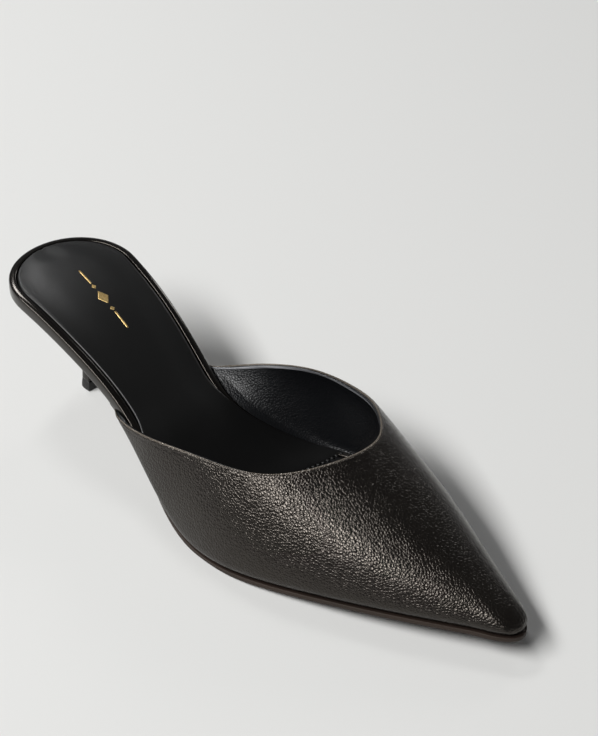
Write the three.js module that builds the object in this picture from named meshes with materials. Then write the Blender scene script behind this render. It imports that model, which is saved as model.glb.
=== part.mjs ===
// Women's pointed-toe mule with a kitten heel, the right shoe, standing on a floor at z = 0.
// Millimetres. +X runs from the heel to the toe, -Y is the lateral (outer) side, +Z is up.
// Every piece is worked out from the insole board's outline and rise and from the last above it.
import * as THREE from 'three';

// ---- driving dimensions -------------------------------------------------------------------
const SHOE_LENGTH = 264; // back of the insole board to the tip of the toe
const HEEL_ROUND = 28; // length of the round back of the board
const HEEL_ROUND_POWER = 2.2; // how full that round back is
const NOSE_LENGTH = 11.5; // length of the rounded tip of the toe
const NOSE_SIDE = 3; // the tip's place, towards the medial side
const FIT_GAP = 0.3; // between pieces that meet
const SOCK_GAP = 0.5; // between the board's curved seat and the socks
const SEAM_GAP = 0.9; // between the padded sock and the front one

const WALL = 1.6; // upper and lining together
const ROLL_IN = 1.4; // how far the upper turns under at the feather edge
const ROLL_HEIGHT = 5; // height over which it turns
const WING_START = 81; // back end of the upper's side wings
const WING_WALL = 0.9; // the wings are skived to this at their back ends
const WING_FLARE = { lateral: [79, 91], medial: [84, 101] }; // where they leave the board's edge
const TOPLINE_BLEND = 30; // reach over which the lateral cut turns into the medial one

const EDGE_HEIGHT = 5; // wrapped edge of the insole board, above its underside
const TOE_EDGE_HEIGHT = 2.6; // the same in the toe, where the board is skived thin
const EDGE_ROUND = 1.4; // radius of the wrapped edge's top corner
const ROUND_MIDDLE = 0.3; // a round's middle lies this part of its radius from both faces
const RIM_WIDTH = 3.4; // wrapped rim outside the sock
const GROOVE = 0.7; // open groove between the rim and the sock
const SOCK_DEPTH = 1.7; // the sock's seat below the rim
const BOARD_END = 246; // front end of the board, inside the toe

const SOCK_CROWN = 0.7; // the pad stands this much above the rim
const BALL_LINE = 138.5; // front edge of the padded sock on the long axis
const BALL_SLANT = 5.5; // how far that edge swings forward on the medial side
const FRONT_SOCK_THICKNESS = 1.0;

const SOLE_THICKNESS = 2.2; // outsole under the forefoot
const WAIST_THICKNESS = 1.6; // outsole under the arch
const WELT_REACH = 2; // outsole's edge outside the board, forefoot
const SOLE_CHAMFER = 0.4; // height of the outsole's lower corner
const SOLE_CHAMFER_INSET = 0.6; // and how far it comes in underneath
const WAIST_INSET = 1.6; // outsole's edge inside the board, arch

const BREAST = 45; // front face of the heel where it meets the seat
const SEAT_INSET = 1.2; // heel cup inside the board's edge
const STEM_BACK = 31.4; // heel stem at the top piece: back and front faces
const STEM_FRONT = 37.4;
const STEM_WIDTH = 8.8;
const STEM_SIDE = -2.5; // stem's middle, towards the lateral side
const STEM_LEAN = 2.5; // how far the stem's top leans forward
const STEM_TURN = 1.5; // how far it leans towards the medial side
const STEM_SQUARE = 4; // squareness of the stem's back corners
const CUP_FLARE = 4; // how sharply the cup sweeps into the stem
const TOP_PIECE_HEIGHT = 4;
const TOP_PIECE_FLARE = 0.5; // top piece's foot outside the stem
const TOP_PIECE_BELLY = 0.3; // and its middle

// Rise of the board's underside above the floor, and the topline's height.
const RISE = [
  { x: 0, height: 45.7 },
  { x: 28, height: 43.6 },
  { x: 60, height: 37.3 },
  { x: 92, height: 26 },
  { x: 112, height: 17 },
  { x: 132, height: 5 },
  { x: 160, height: 2.3 },
  { x: 190, height: 4.6 },
  { x: 220, height: 6.8 },
  { x: 252.5, height: 8.2 },
];

// Outline of the board: its reach to each side of the long axis.
const OUTLINE = [
  { x: 28, lateral: 27.5, medial: 27 },
  { x: 60, lateral: 29, medial: 20.8 },
  { x: 92, lateral: 31.5, medial: 12.4 },
  { x: 112, lateral: 36.5, medial: 10.6 },
  { x: 132, lateral: 40, medial: 24.5 },
  { x: 160, lateral: 41, medial: 38 },
  { x: 190, lateral: 32.5, medial: 33.5 },
  { x: 220, lateral: 20, medial: 23 },
  { x: 249, lateral: 5.2, medial: 11.3 },
];

// Sections of the last: where its crest runs, and how far each wall leans outwards.
const LAST = [
  { x: 80, crestHeight: 82, crestSide: 2, lateralFlare: -8, medialFlare: 12 },
  { x: 108, crestHeight: 72.5, crestSide: 5, lateralFlare: -8, medialFlare: 50 },
  { x: 132, crestHeight: 63.5, crestSide: 7, lateralFlare: -3, medialFlare: 26 },
  { x: 156, crestHeight: 54.5, crestSide: 8.5, lateralFlare: -3, medialFlare: 1 },
  { x: 180, crestHeight: 43.7, crestSide: 9.5, lateralFlare: -3, medialFlare: -10 },
  { x: 205, crestHeight: 34.5, crestSide: 8, lateralFlare: -4, medialFlare: -8 },
  { x: 230, crestHeight: 25, crestSide: 4.5, lateralFlare: -5, medialFlare: -10 },
  { x: 252.5, crestHeight: 16.8, crestSide: 2.5, lateralFlare: -6, medialFlare: -12 },
];

// How far each wall keeps its lean before it turns in, as a part of the crest's height, and
// how far the crest stays flat, as a part of the half width.
const FULLNESS = {
  lateral: { wall: 0.35, crest: 0.69 },
  medial: { wall: 0.75, crest: 0.58 },
};

// Height at which the topline cuts the last, on each side.
const TOPLINE = [
  { x: 80, lateral: 31.4, medial: 31.2 },
  { x: 94, lateral: 29.7, medial: 29.6 },
  { x: 108, lateral: 32, medial: 33.9 },
  { x: 132, lateral: 35.9, medial: 37.2 },
  { x: 156, lateral: 37.9, medial: 39.5 },
  { x: 172, lateral: 39.9, medial: 42.8 },
  { x: 182, lateral: 42.2, medial: 43 },
];

// Round of the padded sock's edge: how far in, and its height as a part of SOCK_DEPTH.
const SOCK_EDGE = [
  { inset: 0, height: 0 },
  { inset: 0.8, height: 0.7 },
  { inset: 3, height: 1 },
];

// ---- mesh density -------------------------------------------------------------------------
const RIBS_PER_SIDE = 40; // ribs of the upper, from a wing's end to the toe
const RIB_STEPS = 14; // steps down each rib
const TOE_CROWD = 1.6; // how the ribs' lower ends draw together towards the toe
const TOE_REACH = 8; // only the ribs next to the crest also draw their own steps forward
const RIB_FAN = 3; // how long a rib keeps beside the crest before it turns down
const EDGE_STEPS = 90; // points along each side of the board's outline
const TOPLINE_STEPS = 60; // points along each side of the topline
const HEEL_RINGS = 20; // rings from the heel's seat to its foot
const HEEL_CROWD = 1.4; // how they draw together towards the seat
const HEEL_SIDE_STEPS = 12; // points of a ring from the back to the front, each side
const HEEL_BACK_CROWD = 1.2; // how those draw together at the back
const HEEL_BREAST_STEPS = 6; // points across the heel's front
const NUDGE = 0.002; // a step along the outline that gives its direction
const AT_END = 1e-6; // a sweep this near 0 or 1 is the very back or tip
const SEARCH_STEPS = 24; // halvings when a height is looked for on a section

const LATERAL = -1;
const MEDIAL = 1;

// ---- curves -------------------------------------------------------------------------------

// A natural cubic spline through one column of a table.
function smooth(table, column) {
  const x = table.map((row) => row.x);
  const y = table.map((row) => row[column]);
  const last = x.length - 1;
  const bend = new Array(last + 1).fill(0);
  const carry = new Array(last + 1).fill(0);
  for (let i = 1; i < last; i += 1) {
    const share = (x[i] - x[i - 1]) / (x[i + 1] - x[i - 1]);
    const pivot = share * bend[i - 1] + 2;
    const turn = (y[i + 1] - y[i]) / (x[i + 1] - x[i]) - (y[i] - y[i - 1]) / (x[i] - x[i - 1]);
    carry[i] = ((6 * turn) / (x[i + 1] - x[i - 1]) - share * carry[i - 1]) / pivot;
    bend[i] = (share - 1) / pivot;
  }
  bend[last] = 0;
  for (let i = last - 1; i > 0; i -= 1) {
    bend[i] = bend[i] * bend[i + 1] + carry[i];
  }
  bend[0] = 0;
  return (at) => {
    const here = THREE.MathUtils.clamp(at, x[0], x[last]);
    let i = 0;
    while (i < last - 1 && here > x[i + 1]) {
      i += 1;
    }
    const step = x[i + 1] - x[i];
    const a = (x[i + 1] - here) / step;
    const b = (here - x[i]) / step;
    const curve = ((a ** 3 - a) * bend[i] + (b ** 3 - b) * bend[i + 1]) * (step ** 2 / 6);
    return a * y[i] + b * y[i + 1] + curve;
  };
}

const rise = smooth(RISE, 'height');
const reach = { [LATERAL]: smooth(OUTLINE, 'lateral'), [MEDIAL]: smooth(OUTLINE, 'medial') };
const crestHeight = smooth(LAST, 'crestHeight');
const crestSide = smooth(LAST, 'crestSide');
const flare = { [LATERAL]: smooth(LAST, 'lateralFlare'), [MEDIAL]: smooth(LAST, 'medialFlare') };
const cut = { [LATERAL]: smooth(TOPLINE, 'lateral'), [MEDIAL]: smooth(TOPLINE, 'medial') };
const fullness = { [LATERAL]: FULLNESS.lateral, [MEDIAL]: FULLNESS.medial };

const LAST_START = LAST[0].x;
const NOSE_START = SHOE_LENGTH - NOSE_LENGTH;
const BOARD_OVERLAP = WALL + FIT_GAP + ROLL_IN; // the upper's widest line outside the board
const wingFlare = { [LATERAL]: WING_FLARE.lateral, [MEDIAL]: WING_FLARE.medial };
const BOARD_TIP = SHOE_LENGTH - BOARD_OVERLAP;
const BOARD_NOSE = BOARD_TIP - NOSE_LENGTH;

// Underside of the board at x, carried on straight past the last station.
function boardHeight(x) {
  const end = RISE[RISE.length - 1].x;
  const slope = rise(end) - rise(end - 1);
  return rise(x) + Math.max(0, x - end) * slope;
}

// The board's outline on one side at x: round at the heel, a parabola at the toe.
function boardReach(side, x) {
  const inside = THREE.MathUtils.clamp(x, HEEL_ROUND, BOARD_NOSE);
  const back = Math.max(0, (HEEL_ROUND - x) / HEEL_ROUND);
  const heel = Math.sqrt(Math.max(0, 1 - back ** HEEL_ROUND_POWER));
  const nose = Math.sqrt(Math.min(1, Math.max(0, (BOARD_TIP - x) / NOSE_LENGTH)));
  return THREE.MathUtils.lerp(NOSE_SIDE, side * reach[side](inside) * heel, nose);
}

// A point of the board's outline at a sweep from 0 (heel) to 1 (toe), moved outwards.
function outlinePoint(side, sweep, outset) {
  const at = (share) => {
    const x = (BOARD_TIP * (1 - Math.cos(Math.PI * THREE.MathUtils.clamp(share, 0, 1)))) / 2;
    return new THREE.Vector2(x, boardReach(side, x));
  };
  const point = at(sweep);
  const along = at(sweep + NUDGE).sub(at(sweep - NUDGE)).normalize();
  const out = new THREE.Vector2(-along.y * side, along.x * side);
  if (sweep < AT_END) {
    return new THREE.Vector2(-outset(0), 0);
  }
  if (sweep > 1 - AT_END) {
    return new THREE.Vector2(BOARD_TIP + outset(BOARD_TIP), NOSE_SIDE);
  }
  return point.addScaledVector(out, outset(point.x));
}

// Halves the span between a value where test is false and one where it is true.
function search(low, high, test) {
  let from = low;
  let to = high;
  for (let i = 0; i < SEARCH_STEPS; i += 1) {
    const middle = (from + to) / 2;
    if (test(middle)) {
      to = middle;
    } else {
      from = middle;
    }
  }
  return (from + to) / 2;
}

// The sweep at which that outline reaches x.
function sweepTo(side, x, outset) {
  return search(0, 1, (sweep) => outlinePoint(side, sweep, outset).x > x);
}

// Points along one side from heel to toe, moved outwards by what outset gives at each x.
function outline(side, outset) {
  const points = [];
  for (let i = 0; i <= EDGE_STEPS; i += 1) {
    points.push(outlinePoint(side, i / EDGE_STEPS, outset));
  }
  return points;
}

// The value y of a line of points at x.
function lineAt(points, x) {
  let i = 0;
  while (i < points.length - 2 && x > points[i + 1].x) {
    i += 1;
  }
  const span = points[i + 1].x - points[i].x;
  const share = THREE.MathUtils.clamp((x - points[i].x) / span, 0, 1);
  return THREE.MathUtils.lerp(points[i].y, points[i + 1].y, share);
}

// ---- the last's surface -------------------------------------------------------------------

// 0 where a wing lies close against the board's edge, 1 where it stands clear of it.
function wingOpening(side, x) {
  return THREE.MathUtils.smoothstep(x, ...wingFlare[side]);
}

function wallAt(side, x) {
  return THREE.MathUtils.lerp(WING_WALL, WALL, wingOpening(side, x));
}

function overlapAt(side, x) {
  return FIT_GAP + wallAt(side, x) + ROLL_IN * wingOpening(side, x);
}

const widest = {
  [LATERAL]: outline(LATERAL, (x) => overlapAt(LATERAL, x)),
  [MEDIAL]: outline(MEDIAL, (x) => overlapAt(MEDIAL, x)),
};

// A point of the last at x. climb runs from 0 at the lateral feather edge, over the crest at
// 1, to 2 at the medial feather edge. Each side is a cubic from the edge to the crest.
function lastPoint(x, climb) {
  const side = climb <= 1 ? LATERAL : MEDIAL;
  const t = climb <= 1 ? climb : 2 - climb;
  const inside = THREE.MathUtils.clamp(x, LAST_START, NOSE_START);
  const close = Math.sqrt(Math.min(1, Math.max(0, (SHOE_LENGTH - x) / NOSE_LENGTH)));
  const base = boardHeight(x);
  const height = (crestHeight(inside) - boardHeight(inside)) * close;
  const crest = THREE.MathUtils.lerp(NOSE_SIDE, crestSide(inside), close);
  const edge = lineAt(widest[side], x);
  const lean = THREE.MathUtils.degToRad(flare[side](inside));
  const wall = height * fullness[side].wall;
  const flat = Math.abs(edge - crest) * fullness[side].crest;
  const section = new THREE.CubicBezierCurve(
    new THREE.Vector2(edge, base),
    new THREE.Vector2(edge + side * Math.sin(lean) * wall, base + Math.cos(lean) * wall),
    new THREE.Vector2(crest + side * flat, base + height),
    new THREE.Vector2(crest, base + height),
  );
  const point = section.getPoint(t);
  return new THREE.Vector3(x, point.x, point.y);
}

// How far a point of the last stands above the topline's cut.
function aboveTopline(point) {
  const share = THREE.MathUtils.smoothstep(point.y, -TOPLINE_BLEND, TOPLINE_BLEND);
  return point.z - THREE.MathUtils.lerp(cut[LATERAL](point.x), cut[MEDIAL](point.x), share);
}

const THROAT = search(WING_START, NOSE_START, (x) => aboveTopline(lastPoint(x, 1)) < 0);

// The topline as { x, climb } pairs, from the lateral wing round the throat to the medial one.
function toplinePath() {
  const half = (side) => {
    const path = [];
    for (let i = 0; i <= TOPLINE_STEPS; i += 1) {
      const x = THROAT - (THROAT - WING_START) * (1 - i / TOPLINE_STEPS) ** 2;
      const at = (t) => lastPoint(x, side === LATERAL ? t : 2 - t);
      const t = search(0, 1, (value) => aboveTopline(at(value)) > 0);
      path.push({ x, climb: side === LATERAL ? t : 2 - t });
    }
    return path;
  };
  const lateral = half(LATERAL).slice(0, -1);
  const medial = half(MEDIAL).reverse().slice(1);
  return [...lateral, { x: THROAT, climb: 1 }, ...medial];
}

// Even steps along that path, by the length on the last.
function evenPath(path, count) {
  const points = path.map(({ x, climb }) => lastPoint(x, climb));
  const runs = [0];
  for (let i = 1; i < points.length; i += 1) {
    runs.push(runs[i - 1] + points[i].distanceTo(points[i - 1]));
  }
  const total = runs[runs.length - 1];
  const even = [];
  let i = 0;
  for (let n = 0; n <= count; n += 1) {
    const want = (total * n) / count;
    while (i < runs.length - 2 && want > runs[i + 1]) {
      i += 1;
    }
    const share = (want - runs[i]) / (runs[i + 1] - runs[i]);
    even.push({
      x: THREE.MathUtils.lerp(path[i].x, path[i + 1].x, share),
      climb: THREE.MathUtils.lerp(path[i].climb, path[i + 1].climb, share),
    });
  }
  return even;
}

// ---- mesh helpers -------------------------------------------------------------------------

// A closed geometry from points and triangles. Points in one place become one, and triangles
// that this closes up are left out.
function solid(points, triangles) {
  const places = new Map();
  const kept = [];
  const index = points.map((point) => {
    const key = point.toArray().map((value) => value.toFixed(4)).join(' ');
    if (!places.has(key)) {
      places.set(key, kept.length);
      kept.push(point);
    }
    return places.get(key);
  });
  const open = triangles.map((corners) => corners.map((corner) => index[corner]));
  const whole = open.filter(([a, b, c]) => a !== b && b !== c && c !== a);
  const geometry = new THREE.BufferGeometry();
  const position = new THREE.Float32BufferAttribute(kept.flatMap((point) => point.toArray()), 3);
  geometry.setAttribute('position', position);
  geometry.setIndex(whole.flat());
  geometry.computeVertexNormals();
  return geometry;
}

// A closed body between two grids of the same size, with a strip of wall round their border.
// A first or last row whose two halves lie on each other (a pinched end) gets no strip.
function between(upper, lower, pinched = { start: false, end: false }) {
  const rows = upper.length;
  const columns = upper[0].length;
  const points = [...upper.flat(), ...lower.flat()];
  const top = (i, j) => i * columns + j;
  const under = (i, j) => rows * columns + i * columns + j;
  const triangles = [];
  const quad = (a, b, c, d) => triangles.push([a, b, c], [a, c, d]);
  for (let i = 0; i < rows - 1; i += 1) {
    for (let j = 0; j < columns - 1; j += 1) {
      quad(top(i, j), top(i + 1, j), top(i + 1, j + 1), top(i, j + 1));
      quad(under(i, j), under(i, j + 1), under(i + 1, j + 1), under(i + 1, j));
    }
    quad(top(i, 0), under(i, 0), under(i + 1, 0), top(i + 1, 0));
    const end = columns - 1;
    quad(top(i, end), top(i + 1, end), under(i + 1, end), under(i, end));
  }
  for (let j = 0; j < columns - 1; j += 1) {
    if (!pinched.start) {
      quad(top(0, j), top(0, j + 1), under(0, j + 1), under(0, j));
    }
    if (!pinched.end) {
      quad(top(rows - 1, j), under(rows - 1, j), under(rows - 1, j + 1), top(rows - 1, j + 1));
    }
  }
  return solid(points, triangles);
}

// A closed body through rings of points, counterclockwise from above, from the top one down.
function through(rings) {
  const count = rings[0].length;
  const points = rings.flat();
  const triangles = [];
  for (let i = 0; i < rings.length - 1; i += 1) {
    for (let j = 0; j < count; j += 1) {
      const next = (j + 1) % count;
      const a = i * count;
      const b = a + count;
      triangles.push([a + j, b + j, b + next], [a + j, b + next, a + next]);
    }
  }
  const cap = (ring, start, turn) => {
    const middle = ring.reduce((sum, p) => sum.add(p), new THREE.Vector3()).divideScalar(count);
    points.push(middle);
    for (let j = 0; j < count; j += 1) {
      const edge = [start + j, start + ((j + 1) % count)];
      triangles.push([...(turn ? edge : edge.reverse()), points.length - 1]);
    }
  };
  cap(rings[0], 0, true);
  cap(rings[rings.length - 1], (rings.length - 1) * count, false);
  return solid(points, triangles);
}

function piece(name, geometry, material) {
  const mesh = new THREE.Mesh(geometry, material);
  mesh.name = name;
  return mesh;
}

// ---- upper --------------------------------------------------------------------------------

// The upper's outer surface: ribs from the topline down to the feather edge.
function outerSurface() {
  const start = evenPath(toplinePath(), 2 * RIBS_PER_SIDE);
  return start.map((from, n) => {
    const share = Math.abs(n / RIBS_PER_SIDE - 1);
    const endX = SHOE_LENGTH - (SHOE_LENGTH - WING_START) * share ** TOE_CROWD;
    const endClimb = n < RIBS_PER_SIDE ? 0 : 2;
    const toTip = n === RIBS_PER_SIDE;
    const slide = 1 + (TOE_CROWD - 1) * (1 - share) ** TOE_REACH;
    const fan = 1 + RIB_FAN * (1 - share) ** 2;
    const rib = [];
    for (let k = 0; k <= RIB_STEPS; k += 1) {
      const t = k / RIB_STEPS;
      const x = endX + (from.x - endX) * (1 - t) ** slide;
      const climb = toTip ? from.climb : THREE.MathUtils.lerp(from.climb, endClimb, t ** fan);
      rib.push(lastPoint(x, climb));
    }
    return rib;
  });
}

// The outward direction of the upper's surface at rib i, step k.
function surfaceNormal(grid, i, k) {
  const along = grid[Math.min(grid.length - 1, i + 1)][k].clone();
  along.sub(grid[Math.max(0, i - 1)][k]);
  const down = grid[i][Math.min(RIB_STEPS, k + 1)].clone();
  down.sub(grid[i][Math.max(0, k - 1)]);
  return down.cross(along).normalize();
}

function upperGeometry() {
  const outer = outerSurface();
  const sideOf = (i) => (i < RIBS_PER_SIDE ? LATERAL : MEDIAL);
  const featherNormals = outer.map((rib, i) => {
    return surfaceNormal(outer, i, RIB_STEPS).setZ(0).normalize();
  });
  const inner = outer.map((rib, i) =>
    rib.map((point, k) => {
      const wall = wallAt(sideOf(i), point.x);
      return point.clone().addScaledVector(surfaceNormal(outer, i, k), -wall);
    }),
  );
  const turnUnder = (grid) => {
    grid.forEach((rib, i) => {
      rib.forEach((point) => {
        const height = Math.max(0, point.z - boardHeight(point.x));
        const turn = Math.max(0, 1 - height / ROLL_HEIGHT) ** 2;
        const roll = ROLL_IN * wingOpening(sideOf(i), point.x);
        point.addScaledVector(featherNormals[i], -roll * turn);
      });
    });
  };
  turnUnder(outer);
  turnUnder(inner);
  inner.forEach((rib, i) => {
    const edge = outer[i][RIB_STEPS].clone();
    edge.addScaledVector(featherNormals[i], -wallAt(sideOf(i), edge.x));
    edge.z = boardHeight(edge.x);
    rib[RIB_STEPS].copy(edge);
  });
  return between(inner, outer);
}

// ---- insole, socks and outsole ------------------------------------------------------------

// Ribs across the shoe, from start to end, which give x at a place across from -1 (lateral) to
// 1. Each rib has points at the given insets from both edges, and evenly spread ones between.
// A rib at the very back or tip is pinched: its two halves lie on each other.
function crossRibs({ start, end, count, insets, middle, outset = () => 0 }) {
  const ribs = [];
  for (let i = 0; i <= count; i += 1) {
    const edge = (side) =>
      insets.map((inset) => {
        const reachOut = (x) => outset(x) - inset;
        const first = sweepTo(side, start(side), reachOut);
        const last = sweepTo(side, end(side), reachOut);
        const point = outlinePoint(side, THREE.MathUtils.lerp(first, last, i / count), reachOut);
        return { x: point.x, y: point.y, inset, across: side };
      });
    const lateral = edge(LATERAL);
    const medial = edge(MEDIAL).reverse();
    const from = lateral[lateral.length - 1];
    const to = medial[0];
    const bend = (across, line) => {
      const straight = THREE.MathUtils.lerp(line(-1), line(1), (across + 1) / 2);
      return line(across) - straight;
    };
    const inner = [];
    for (let n = 1; n < middle; n += 1) {
      const across = (2 * n) / middle - 1;
      const bow = THREE.MathUtils.lerp(bend(across, start), bend(across, end), i / count);
      const x = THREE.MathUtils.lerp(from.x, to.x, n / middle) + bow;
      inner.push({ x, y: THREE.MathUtils.lerp(from.y, to.y, n / middle), across });
    }
    ribs.push([...lateral, ...inner, ...medial]);
  }
  return ribs;
}

// A thin body over cross ribs, between two height functions.
function sheet(ribs, top, under, pinched) {
  const grid = (height) => {
    return ribs.map((rib) => rib.map((p) => new THREE.Vector3(p.x, p.y, height(p))));
  };
  return between(grid(top), grid(under), pinched);
}

// Height of the wrapped edge above the board's underside: it thins towards the toe.
function edgeHeight(x) {
  const thin = THREE.MathUtils.smoothstep(x, BALL_LINE, BOARD_END);
  return THREE.MathUtils.lerp(EDGE_HEIGHT, TOE_EDGE_HEIGHT, thin);
}

function seatHeight(x) {
  return boardHeight(x) + edgeHeight(x) - SOCK_DEPTH * edgeHeight(x) / EDGE_HEIGHT;
}

function insoleGeometry() {
  const bevel = EDGE_ROUND * ROUND_MIDDLE;
  const insets = [0, bevel, EDGE_ROUND, RIM_WIDTH - FIT_GAP, RIM_WIDTH];
  const corner = [EDGE_ROUND, bevel, 0, 0];
  const ribs = crossRibs({ start: () => 0, end: () => BOARD_END, count: 40, insets, middle: 4 });
  const top = (p) => {
    const drop = corner[insets.indexOf(p.inset)];
    return drop === undefined ? seatHeight(p.x) : boardHeight(p.x) + edgeHeight(p.x) - drop;
  };
  return sheet(ribs, top, (p) => boardHeight(p.x), { start: true, end: false });
}

// How far forward the padded sock's front edge swings, from -1 at the lateral side to 1.
function ballSwing(across) {
  return BALL_SLANT * Math.sin((Math.PI / 2) * THREE.MathUtils.clamp(across, -1, 1));
}

function sockGeometry() {
  const edge = RIM_WIDTH + GROOVE;
  const insets = SOCK_EDGE.map(({ inset }) => edge + inset);
  const lift = SOCK_EDGE.map(({ height }) => SOCK_DEPTH * height);
  const end = (across) => BALL_LINE + ballSwing(across);
  const ribs = crossRibs({ start: () => 0, end, count: 30, insets, middle: 8 });
  const under = (p) => seatHeight(p.x) + SOCK_GAP;
  const top = (p) => {
    const rounded = lift[insets.indexOf(p.inset)];
    if (rounded !== undefined) {
      return seatHeight(p.x) + Math.max(rounded, SOCK_GAP + FIT_GAP);
    }
    const crown = Math.cos((Math.PI / 2) * p.across);
    return seatHeight(p.x) + SOCK_DEPTH + SOCK_CROWN * crown;
  };
  return sheet(ribs, top, under, { start: true, end: false });
}

function frontSockGeometry() {
  const insets = [RIM_WIDTH + GROOVE];
  const start = (across) => BALL_LINE + SEAM_GAP + ballSwing(across);
  const ribs = crossRibs({ start, end: () => BOARD_END - RIM_WIDTH, count: 14, insets, middle: 6 });
  const under = (p) => seatHeight(p.x) + SOCK_GAP;
  return sheet(ribs, (p) => under(p) + FRONT_SOCK_THICKNESS, under);
}

// 0 under the arch, 1 under the forefoot.
function forefoot(x) {
  return THREE.MathUtils.smoothstep(x, OUTLINE[2].x, OUTLINE[4].x);
}

function outsoleGeometry() {
  const outset = (x) => THREE.MathUtils.lerp(-WAIST_INSET, WELT_REACH, forefoot(x));
  const start = () => BREAST + FIT_GAP;
  const end = () => SHOE_LENGTH;
  const insets = [0, SOLE_CHAMFER_INSET];
  const ribs = crossRibs({ start, end, count: 46, insets, middle: 4, outset });
  const under = (p) => {
    const thickness = THREE.MathUtils.lerp(WAIST_THICKNESS, SOLE_THICKNESS, forefoot(p.x));
    const chamfer = p.inset === 0 ? SOLE_CHAMFER : 0;
    return Math.max(0, boardHeight(p.x) - FIT_GAP - thickness) + chamfer;
  };
  return sheet(ribs, (p) => boardHeight(p.x) - FIT_GAP, under, { start: false, end: true });
}

// ---- heel ---------------------------------------------------------------------------------

// Plan points of a heel section, counterclockwise from above, starting at the middle of its
// back. half gives the reach of a side at a place from 0 at the back to 1 at the front.
function heelPlan(back, front, half) {
  const steps = HEEL_SIDE_STEPS;
  const across = HEEL_BREAST_STEPS;
  const points = [];
  const place = (side, n) => {
    const u = (1 - Math.cos((Math.PI * n) / (2 * steps))) ** HEEL_BACK_CROWD;
    return new THREE.Vector2(THREE.MathUtils.lerp(back, front, u), half(side, u));
  };
  for (let n = 0; n <= steps; n += 1) {
    points.push(place(LATERAL, n));
  }
  const lateral = points[steps];
  const medial = place(MEDIAL, steps);
  for (let n = 1; n < across; n += 1) {
    points.push(lateral.clone().lerp(medial, n / across));
  }
  for (let n = steps; n >= 1; n -= 1) {
    points.push(place(MEDIAL, n));
  }
  return points;
}

// Half width of the stem at a place from 0 at its back to 1 at its front.
function stemReach(side, u, width, shift) {
  const round = (1 - (1 - u) ** STEM_SQUARE) ** (1 / STEM_SQUARE);
  return STEM_SIDE + shift + (side * width * round) / 2;
}

function heelGeometry() {
  const inset = () => -SEAT_INSET;
  const cup = { [LATERAL]: outline(LATERAL, inset), [MEDIAL]: outline(MEDIAL, inset) };
  const cupBack = cup[LATERAL][0].x;
  const foot = TOP_PIECE_HEIGHT + FIT_GAP;
  const rings = [];
  for (let i = 0; i <= HEEL_RINGS; i += 1) {
    const drop = (i / HEEL_RINGS) ** HEEL_CROWD;
    const sweep = (1 - drop) ** CUP_FLARE;
    const lean = STEM_LEAN * (1 - drop);
    const turn = STEM_TURN * (1 - drop);
    const back = THREE.MathUtils.lerp(STEM_BACK + lean, cupBack, sweep);
    const front = THREE.MathUtils.lerp(STEM_FRONT + lean, BREAST, sweep);
    const plan = heelPlan(back, front, (side, u) => {
      const cupX = THREE.MathUtils.lerp(cupBack, BREAST, u);
      const wide = lineAt(cup[side], cupX);
      return THREE.MathUtils.lerp(stemReach(side, u, STEM_WIDTH, turn), wide, sweep);
    });
    rings.push(plan.map((p) => {
      const seat = boardHeight(p.x) - FIT_GAP;
      return new THREE.Vector3(p.x, p.y, THREE.MathUtils.lerp(seat, foot, drop));
    }));
  }
  return through(rings);
}

function topPieceGeometry() {
  const levels = [
    { z: TOP_PIECE_HEIGHT, grow: 0 },
    { z: TOP_PIECE_HEIGHT / 2, grow: TOP_PIECE_BELLY },
    { z: 0, grow: TOP_PIECE_FLARE },
  ];
  const rings = levels.map(({ z, grow }) => {
    const plan = heelPlan(STEM_BACK - grow, STEM_FRONT + grow, (side, u) =>
      stemReach(side, u, STEM_WIDTH + 2 * grow, 0),
    );
    return plan.map((p) => new THREE.Vector3(p.x, p.y, z));
  });
  return through(rings);
}

// ---- materials ----------------------------------------------------------------------------

function upperLeather() {
  return new THREE.MeshStandardMaterial({ color: 0x35322f, roughness: 0.42, metalness: 0 });
}

function wrapLeather() {
  return new THREE.MeshStandardMaterial({ color: 0x302e2d, roughness: 0.4, metalness: 0 });
}

function sockLeather() {
  return new THREE.MeshStandardMaterial({ color: 0x262626, roughness: 0.62, metalness: 0 });
}

function frontLining() {
  return new THREE.MeshStandardMaterial({ color: 0x2a2a2c, roughness: 0.66, metalness: 0 });
}

function heelCover() {
  return new THREE.MeshStandardMaterial({ color: 0x343130, roughness: 0.45, metalness: 0 });
}

function soleRubber() {
  return new THREE.MeshStandardMaterial({ color: 0x241f1c, roughness: 0.55, metalness: 0 });
}

function topPieceRubber() {
  return new THREE.MeshStandardMaterial({ color: 0x1c1a19, roughness: 0.6, metalness: 0 });
}

// ---- assembly -----------------------------------------------------------------------------

const shoe = new THREE.Group();
shoe.add(piece('outsole', outsoleGeometry(), soleRubber()));
shoe.add(piece('heel', heelGeometry(), heelCover()));
shoe.add(piece('top_piece', topPieceGeometry(), topPieceRubber()));
shoe.add(piece('insole', insoleGeometry(), wrapLeather()));
shoe.add(piece('sock', sockGeometry(), sockLeather()));
shoe.add(piece('sock_front', frontSockGeometry(), frontLining()));
shoe.add(piece('upper', upperGeometry(), upperLeather()));

// The origin is at the middle of the shoe's box, on the floor.
const box = new THREE.Box3().setFromObject(shoe);
const middle = box.getCenter(new THREE.Vector3());
shoe.position.set(-middle.x, -middle.y, -box.min.z);

const group = new THREE.Group();
group.add(shoe);

export default group;
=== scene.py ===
# %% [markdown]
# # A pointed mule with a kitten heel
# A mule is a shoe without a back: a closed vamp in front, and behind it only the insole on its
# heel. This one stands empty on its own sole. Its measured solids come in as a fixed frame, and
# everything made here is dressed onto that frame. Blender works in metres, but a shoemaker
# thinks in millimetres, so one constant turns one into the other.

# %% the frame
import math

import bmesh
import bpy
import numpy as np
from mathutils import Matrix, Vector
from mathutils.bvhtree import BVHTree


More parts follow.
